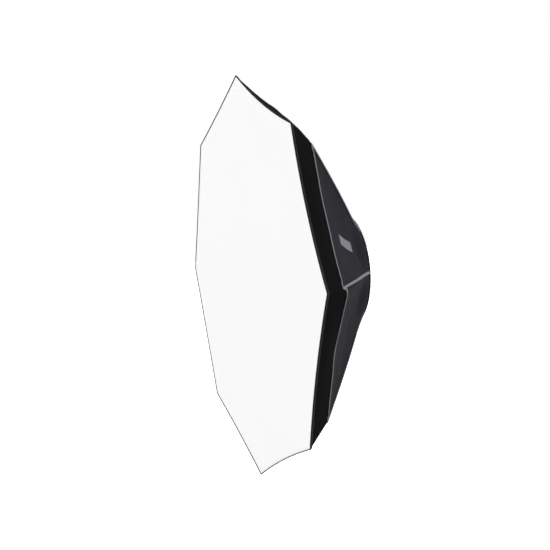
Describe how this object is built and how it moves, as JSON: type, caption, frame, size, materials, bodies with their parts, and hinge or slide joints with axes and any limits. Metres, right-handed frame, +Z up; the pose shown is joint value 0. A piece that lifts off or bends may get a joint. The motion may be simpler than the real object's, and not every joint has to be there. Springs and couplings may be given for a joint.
{
  "type": "studio softbox",
  "caption": "Shallow octagonal cloth softbox on sprung folding rods, with a white front diffuser, inner baffle and a turning ring on a bayonet adapter.",
  "frame": {"origin": "centre of the adapter's rear face, on the optical axis", "axes": "+Y points back along the optical axis to the flash head, the light leaves towards -Y, +Z is up with one corner of the octagon at the top"},
  "size_m": [0.56, 0.1553, 0.56],
  "materials": {
    "alloy": "fine turned, satin",
    "black_alloy": "matte black coat",
    "screw_steel": "plain steel",
    "felt": "pressed felt",
    "cuff_cloth": "matte black knitted tape",
    "silver_cloth": "crinkled silver coated cloth",
    "binding_tape": "grey grosgrain tape",
    "edge_tape": "black tape",
    "white_cloth": "translucent white nylon",
    "shell_cloth": "charcoal ripstop weave",
    "band_cloth": "matte black smooth cloth",
    "snap_metal": "polished snap",
    "nylon": "moulded black nylon",
    "spring_steel": "drawn spring steel"
  },
  "bodies": {
    "adapter": {"bayonet_adapter": "alloy", "retaining_ring": "alloy", "adapter_screws": "screw_steel", "friction_washer": "felt"},
    "ring": {"speed_ring": "black_alloy", "hinge_pins": "screw_steel", "rear_cuff": "cuff_cloth", "silver_lining": "silver_cloth", "rib_binding": "binding_tape", "seam_binding": "binding_tape", "front_diffuser": "white_cloth", "edge_binding": "edge_tape", "inner_baffle": "white_cloth", "baffle_straps": "edge_tape", "strap_snaps": "snap_metal", "corner_pockets": "edge_tape", "shell_panel_1": "shell_cloth", "shell_panel_2": "shell_cloth", "shell_panel_3": "shell_cloth", "shell_panel_4": "shell_cloth", "shell_panel_5": "shell_cloth", "shell_panel_6": "shell_cloth", "shell_panel_7": "shell_cloth", "shell_panel_8": "shell_cloth", "front_band_1": "band_cloth", "front_band_2": "band_cloth", "front_band_3": "band_cloth", "front_band_4": "band_cloth", "front_band_5": "band_cloth", "front_band_6": "band_cloth", "front_band_7": "band_cloth", "front_band_8": "band_cloth"},
    "rod_1": {"rod_foot_1": "nylon", "rod_1": "spring_steel", "tip_cap_1": "nylon"},
    "rod_2": {"rod_foot_2": "nylon", "rod_2": "spring_steel", "tip_cap_2": "nylon"},
    "rod_3": {"rod_foot_3": "nylon", "rod_3": "spring_steel", "tip_cap_3": "nylon"},
    "rod_4": {"rod_foot_4": "nylon", "rod_4": "spring_steel", "tip_cap_4": "nylon"},
    "rod_5": {"rod_foot_5": "nylon", "rod_5": "spring_steel", "tip_cap_5": "nylon"},
    "rod_6": {"rod_foot_6": "nylon", "rod_6": "spring_steel", "tip_cap_6": "nylon"},
    "rod_7": {"rod_foot_7": "nylon", "rod_7": "spring_steel", "tip_cap_7": "nylon"},
    "rod_8": {"rod_foot_8": "nylon", "rod_8": "spring_steel", "tip_cap_8": "nylon"}
  },
  "joints": [
    {"name": "ring_turn", "type": "hinge", "parent": "adapter", "child": "ring", "pos_m": [0, 0, 0], "axis": [0, 1, 0], "continuous": true},
    {"name": "rod_1_fold", "type": "hinge", "parent": "ring", "child": "rod_1", "pos_m": [0, -0.0135, 0.0645], "axis": [1, 0, 0], "range_deg": [0, 50], "deforming": ["rear_cuff", "silver_lining", "rib_binding", "seam_binding", "front_diffuser", "edge_binding", "inner_baffle", "baffle_straps", "strap_snaps", "corner_pockets", "shell_panel_1", "shell_panel_2", "shell_panel_3", "shell_panel_4", "shell_panel_5", "shell_panel_6", "shell_panel_7", "shell_panel_8", "front_band_1", "front_band_2", "front_band_3", "front_band_4", "front_band_5", "front_band_6", "front_band_7", "front_band_8"]},
    {"name": "rod_2_fold", "type": "hinge", "parent": "ring", "child": "rod_2", "pos_m": [-0.04561, -0.0135, 0.04561], "axis": [0.7071, 0, 0.7071], "range_deg": [0, 50]},
    {"name": "rod_3_fold", "type": "hinge", "parent": "ring", "child": "rod_3", "pos_m": [-0.0645, -0.0135, 0], "axis": [0, 0, 1], "range_deg": [0, 50]},
    {"name": "rod_4_fold", "type": "hinge", "parent": "ring", "child": "rod_4", "pos_m": [-0.04561, -0.0135, -0.04561], "axis": [-0.7071, 0, 0.7071], "range_deg": [0, 50]},
    {"name": "rod_5_fold", "type": "hinge", "parent": "ring", "child": "rod_5", "pos_m": [0, -0.0135, -0.0645], "axis": [-1, 0, 0], "range_deg": [0, 50]},
    {"name": "rod_6_fold", "type": "hinge", "parent": "ring", "child": "rod_6", "pos_m": [0.04561, -0.0135, -0.04561], "axis": [-0.7071, 0, -0.7071], "range_deg": [0, 50]},
    {"name": "rod_7_fold", "type": "hinge", "parent": "ring", "child": "rod_7", "pos_m": [0.0645, -0.0135, 0], "axis": [0, 0, -1], "range_deg": [0, 50]},
    {"name": "rod_8_fold", "type": "hinge", "parent": "ring", "child": "rod_8", "pos_m": [0.04561, -0.0135, 0.04561], "axis": [0.7071, 0, -0.7071], "range_deg": [0, 50]}
  ],
  "couplings": [
    {"joint": "rod_2_fold", "follows": "rod_1_fold", "ratio": 1},
    {"joint": "rod_3_fold", "follows": "rod_1_fold", "ratio": 1},
    {"joint": "rod_4_fold", "follows": "rod_1_fold", "ratio": 1},
    {"joint": "rod_5_fold", "follows": "rod_1_fold", "ratio": 1},
    {"joint": "rod_6_fold", "follows": "rod_1_fold", "ratio": 1},
    {"joint": "rod_7_fold", "follows": "rod_1_fold", "ratio": 1},
    {"joint": "rod_8_fold", "follows": "rod_1_fold", "ratio": 1}
  ]
}
